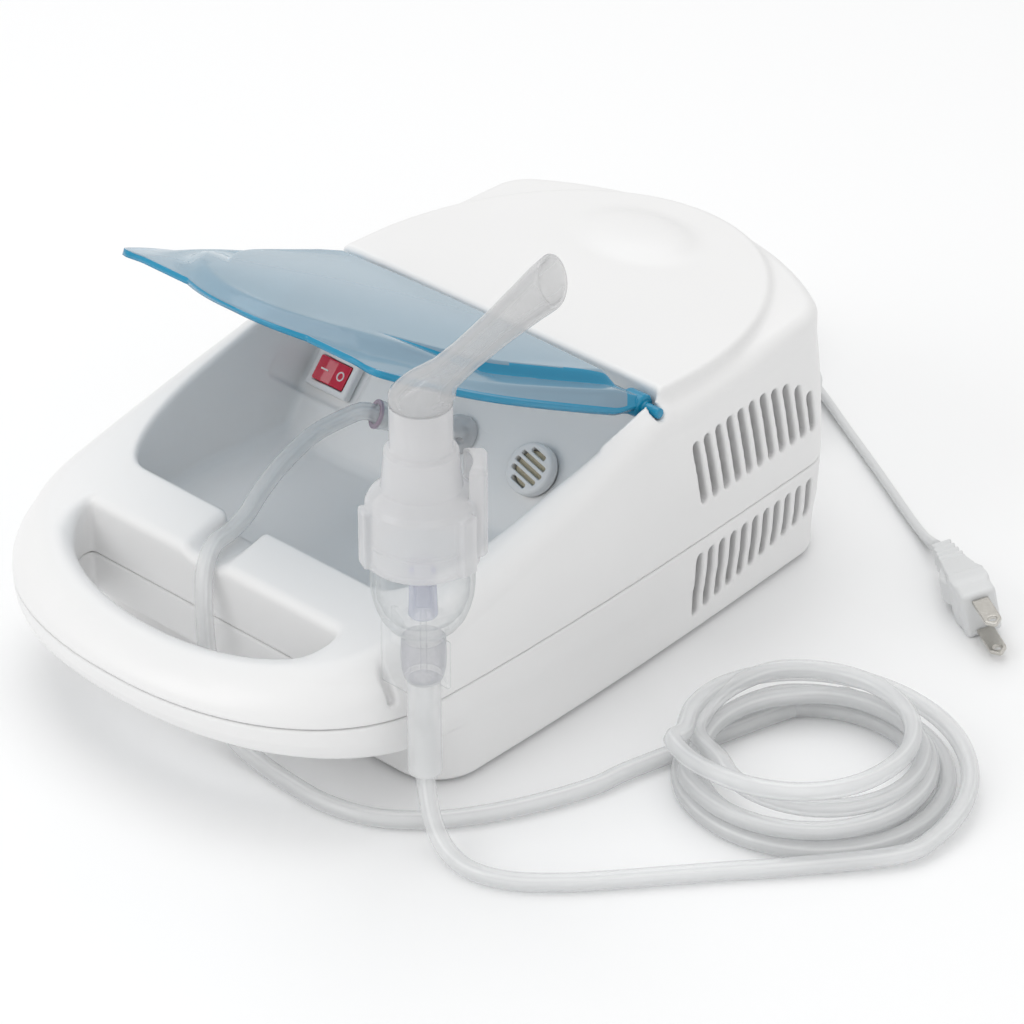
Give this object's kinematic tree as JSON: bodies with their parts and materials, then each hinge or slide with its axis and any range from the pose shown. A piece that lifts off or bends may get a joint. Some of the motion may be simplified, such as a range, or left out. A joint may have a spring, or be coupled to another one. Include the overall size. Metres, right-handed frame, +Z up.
{
  "type": "compressor nebulizer",
  "caption": "Tabletop compressor nebulizer: storage tray under a hinged lid, carrying handle, rocker switch, drug cup with mouthpiece, coiled air tube and mains lead.",
  "frame": {"origin": "middle of the footprint of the unit with its kit, on the surface it stands on; the cords are left out of that footprint", "axes": "+X to the right seen from the handle, +Y from the handle to the rear, +Z up"},
  "size_m": [0.3195, 0.395, 0.2293],
  "materials": {
    "housing_white": "white moulded ABS, satin gloss",
    "lid_blue": "translucent blue polycarbonate, polished",
    "rocker_red": "translucent red moulding",
    "felt": "beige felt",
    "frosted_plastic": "natural polypropylene, frosted",
    "clear_plastic": "clear polystyrene",
    "clear_vinyl": "clear soft vinyl",
    "cord_white": "white soft vinyl",
    "nickel": "nickel-plated brass",
    "steel": "plain steel",
    "copper": "enamelled copper and bronze",
    "aluminium": "cast aluminium",
    "fan_black": "black nylon",
    "silicone": "translucent silicone",
    "rubber": "black rubber"
  },
  "bodies": {
    "housing": {"upper_housing": "housing_white", "lower_housing": "housing_white", "switch_case": "housing_white", "filter_seat": "housing_white", "air_outlet": "frosted_plastic", "outlet_cuff": "clear_vinyl", "kit_cuff": "clear_vinyl", "air_tube_outlet_run": "clear_vinyl", "air_tube_coil": "clear_vinyl", "air_tube_kit_run": "clear_vinyl", "strain_relief": "cord_white", "mains_cord_housing_run": "cord_white", "mains_cord_coil": "cord_white", "mains_cord_plug_run": "cord_white", "plug_body": "cord_white", "plug_blade_upper": "nickel", "plug_blade_lower": "nickel", "stator_core": "steel", "bearing_bracket_left": "steel", "bearing_bracket_right": "steel", "valve_plate": "steel", "mounting_plate": "steel", "base_screw_front_left": "steel", "base_screw_front_right": "steel", "base_screw_rear_left": "steel", "base_screw_rear_right": "steel", "motor_coil": "copper", "bearing_bush_left": "copper", "bearing_bush_right": "copper", "switch_terminal_1": "copper", "switch_terminal_2": "copper", "pump_cylinder": "aluminium", "cylinder_head": "aluminium", "intake_hose": "silicone", "pressure_hose": "silicone", "cord_tie": "rubber", "foot_front_left": "rubber", "foot_front_right": "rubber", "foot_rear_left": "rubber", "foot_rear_right": "rubber", "mount_bush_front_left": "rubber", "mount_bush_front_right": "rubber", "mount_bush_rear_left": "rubber", "mount_bush_rear_right": "rubber"},
    "lid": {"lid": "lid_blue"},
    "rocker": {"switch_rocker": "rocker_red"},
    "filter": {"filter_cap": "housing_white", "filter_pad": "felt"},
    "cup": {"medication_cup": "clear_plastic"},
    "baffle": {"jet_baffle": "frosted_plastic"},
    "cap": {"cup_cap": "frosted_plastic"},
    "mouthpiece": {"mouthpiece": "frosted_plastic"},
    "rotor": {"motor_shaft": "steel", "rotor": "steel", "cooling_fan": "fan_black", "crank": "steel"},
    "piston": {"wobble_piston": "aluminium"}
  },
  "joints": [
    {"name": "lid_hinge", "type": "hinge", "parent": "housing", "child": "lid", "pos_m": [-0.02711, 0.031, 0.097], "axis": [-1, 0, 0], "range_deg": [-36.5, 50]},
    {"name": "switch_rock", "type": "hinge", "parent": "housing", "child": "rocker", "pos_m": [-0.08761, 0.014, 0.064], "axis": [0, 0.6455, 0.7638], "range_deg": [-16, 0]},
    {"name": "filter_pull", "type": "slide", "parent": "housing", "child": "filter", "axis": [0, -0.7638, 0.6455], "range_m": [0, 0.024]},
    {"name": "kit_lift", "type": "slide", "parent": "housing", "child": "cup", "axis": [0, 0, 1], "range_m": [0, 0.05]},
    {"name": "baffle_lift", "type": "slide", "parent": "cup", "child": "baffle", "axis": [0, 0, 1], "range_m": [0, 0.012]},
    {"name": "cap_twist", "type": "hinge", "parent": "cup", "child": "cap", "pos_m": [0.07689, -0.106, 0.11], "axis": [0, 0, 1], "range_deg": [0, 60]},
    {"name": "mouthpiece_turn", "type": "hinge", "parent": "cap", "child": "mouthpiece", "pos_m": [0.07689, -0.106, 0.171], "axis": [0, 0, 1], "continuous": true},
    {"name": "motor_spin", "type": "hinge", "parent": "housing", "child": "rotor", "pos_m": [-0.02711, 0.086, 0.044], "axis": [1, 0, 0], "continuous": true},
    {"name": "rod_level", "type": "hinge", "parent": "rotor", "child": "piston", "pos_m": [0.00889, 0.086, 0.0465], "axis": [1, 0, 0], "continuous": true}
  ],
  "couplings": [
    {"joint": "rod_level", "follows": "motor_spin", "ratio": -1}
  ]
}
